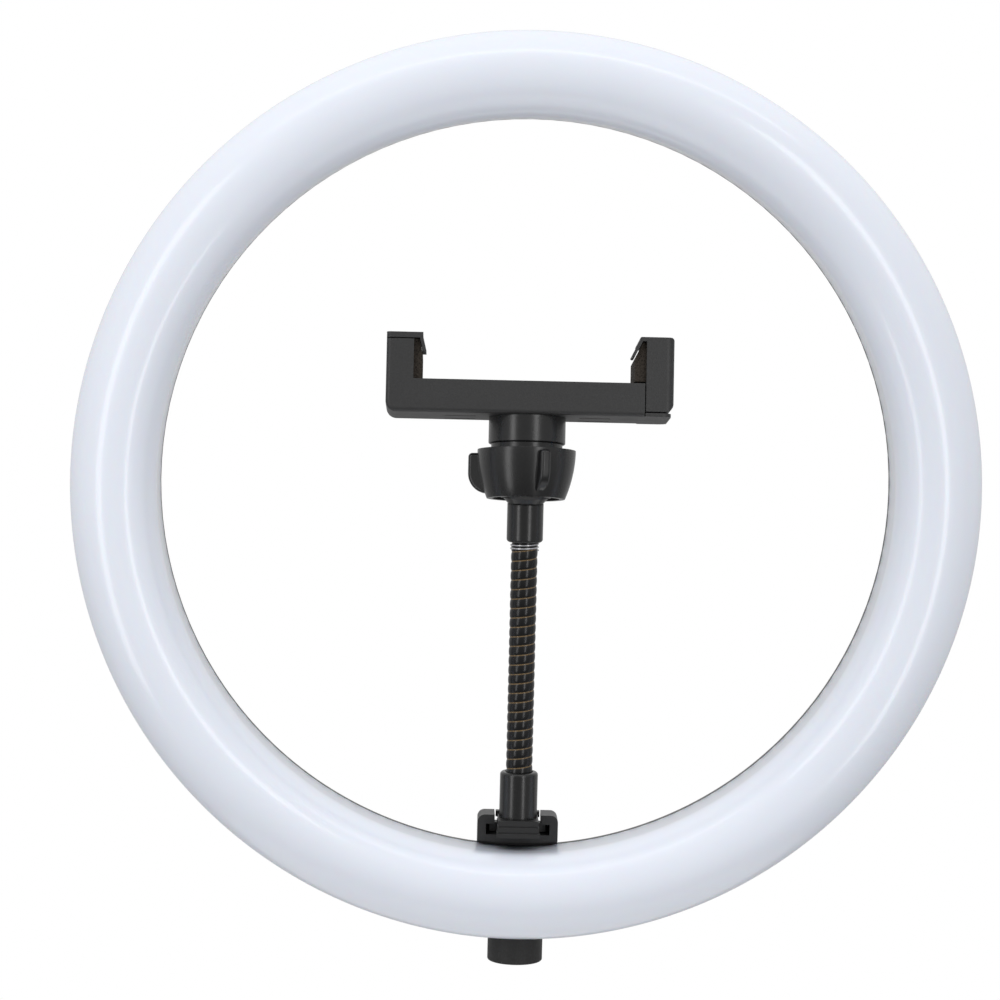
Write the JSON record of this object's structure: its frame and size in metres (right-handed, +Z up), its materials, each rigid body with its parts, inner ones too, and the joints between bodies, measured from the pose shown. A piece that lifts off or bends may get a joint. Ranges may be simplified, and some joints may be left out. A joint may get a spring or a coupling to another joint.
{
  "type": "ring light",
  "caption": "LED ring light with a half-round diffuser, tripod socket and accessory shoe, carrying a gooseneck phone clamp on a lockable ball joint.",
  "frame": {"origin": "centre of the tripod socket's mouth, at the bottom of the ring", "axes": "+Z up through the middle of the ring, +X right and +Y backwards as seen from the lit side, so the light shines towards -Y"},
  "size_m": [0.26, 0.0415, 0.2687],
  "materials": {
    "housing_black": "satin moulded ABS",
    "diffuser_white": "milk-white, half-gloss acrylic",
    "board_white": "white solder mask",
    "led_cool": "pale yellow phosphor",
    "led_warm": "orange phosphor",
    "resistor_black": "ceramic chip",
    "connector_cream": "nylon",
    "screw_steel": "blackened steel",
    "gland_rubber": "soft black",
    "socket_black": "spark-eroded matte",
    "insert_brass": "turned",
    "shoe_black": "satin black",
    "ferrule_black": "gloss black",
    "hose_black": "coated coil",
    "ball_black": "smooth black",
    "pad_nylon": "natural nylon",
    "nut_black": "satin moulded",
    "clamp_black": "fine-grained ABS",
    "jaw_rubber": "foam rubber",
    "spring_steel": "bright wire"
  },
  "bodies": {
    "root": {"rear_housing": "housing_black", "diffuser": "diffuser_white", "led_board": "board_white", "cool_white_leds": "led_cool", "warm_white_leds": "led_warm", "series_resistors": "resistor_black", "board_screws": "screw_steel", "lead_connector": "connector_cream", "rear_screws": "screw_steel", "cable_gland": "gland_rubber", "tripod_socket": "socket_black", "socket_insert": "insert_brass", "socket_screws": "screw_steel", "accessory_shoe": "shoe_black", "shoe_screws": "screw_steel"},
    "foot": {"shoe_foot": "shoe_black", "lower_ferrule": "ferrule_black", "foot_screw": "screw_steel", "hose_stub_lower": "hose_black"},
    "link_01": {"hose_link_01": "hose_black"},
    "link_02": {"hose_link_02": "hose_black"},
    "link_03": {"hose_link_03": "hose_black"},
    "link_04": {"hose_link_04": "hose_black"},
    "link_05": {"hose_link_05": "hose_black"},
    "link_06": {"hose_link_06": "hose_black"},
    "link_07": {"hose_link_07": "hose_black"},
    "arm_head": {"hose_stub_upper": "hose_black", "upper_ferrule": "ferrule_black"},
    "ball": {"ball_stud": "ball_black"},
    "ball_pad": {"friction_pad": "pad_nylon"},
    "head": {"socket_collar": "nut_black", "collar_screw": "screw_steel", "clamp_body": "clamp_black", "clamp_cover": "clamp_black", "cover_screws": "screw_steel", "fixed_pad": "jaw_rubber", "clamp_springs": "spring_steel"},
    "nut": {"lock_nut": "nut_black"},
    "jaw": {"sliding_jaw": "clamp_black", "jaw_pad": "jaw_rubber"}
  },
  "joints": [
    {"name": "shoe_slide", "type": "slide", "parent": "root", "child": "foot", "axis": [0, -1, 0], "range_m": [0, 0.012]},
    {"name": "arm_nod_1", "type": "hinge", "parent": "foot", "child": "link_01", "pos_m": [0, 0, 0.05977], "axis": [1, 0, 0], "range_deg": [-18, 18]},
    {"name": "arm_sway_1", "type": "hinge", "parent": "link_01", "child": "link_02", "pos_m": [0, 0, 0.06811], "axis": [0, -1, 0], "range_deg": [-11, 11]},
    {"name": "arm_nod_2", "type": "hinge", "parent": "link_02", "child": "link_03", "pos_m": [0, 0, 0.07644], "axis": [1, 0, 0], "range_deg": [-18, 18]},
    {"name": "arm_sway_2", "type": "hinge", "parent": "link_03", "child": "link_04", "pos_m": [0, 0, 0.08478], "axis": [0, -1, 0], "range_deg": [-11, 11]},
    {"name": "arm_nod_3", "type": "hinge", "parent": "link_04", "child": "link_05", "pos_m": [0, 0, 0.09312], "axis": [1, 0, 0], "range_deg": [-18, 18]},
    {"name": "arm_sway_3", "type": "hinge", "parent": "link_05", "child": "link_06", "pos_m": [0, 0, 0.10146], "axis": [0, -1, 0], "range_deg": [-11, 11]},
    {"name": "arm_nod_4", "type": "hinge", "parent": "link_06", "child": "link_07", "pos_m": [0, 0, 0.10979], "axis": [1, 0, 0], "range_deg": [-18, 18]},
    {"name": "arm_sway_4", "type": "hinge", "parent": "link_07", "child": "arm_head", "pos_m": [0, 0, 0.11813], "axis": [0, -1, 0], "range_deg": [-11, 11]},
    {"name": "ball_turn", "type": "hinge", "parent": "arm_head", "child": "ball", "pos_m": [0, 0, 0.1401], "axis": [0, 0, 1], "continuous": true},
    {"name": "ball_tilt", "type": "hinge", "parent": "ball", "child": "ball_pad", "pos_m": [0, 0, 0.1401], "axis": [1, 0, 0], "range_deg": [-12, 20]},
    {"name": "ball_lean", "type": "hinge", "parent": "ball_pad", "child": "head", "pos_m": [0, 0, 0.1401], "axis": [0, 1, 0], "range_deg": [-20, 20]},
    {"name": "nut_turn", "type": "hinge", "parent": "head", "child": "nut", "pos_m": [0, 0, 0.1401], "axis": [0, 0.1564, 0.9877], "range_deg": [-180, 0]},
    {"name": "jaw_slide", "type": "slide", "parent": "head", "child": "jaw", "axis": [1, 0, 0], "range_m": [0, 0.027], "stiffness_N_per_m": 300, "springref_m": -0.02, "deforming": ["clamp_springs"]}
  ]
}
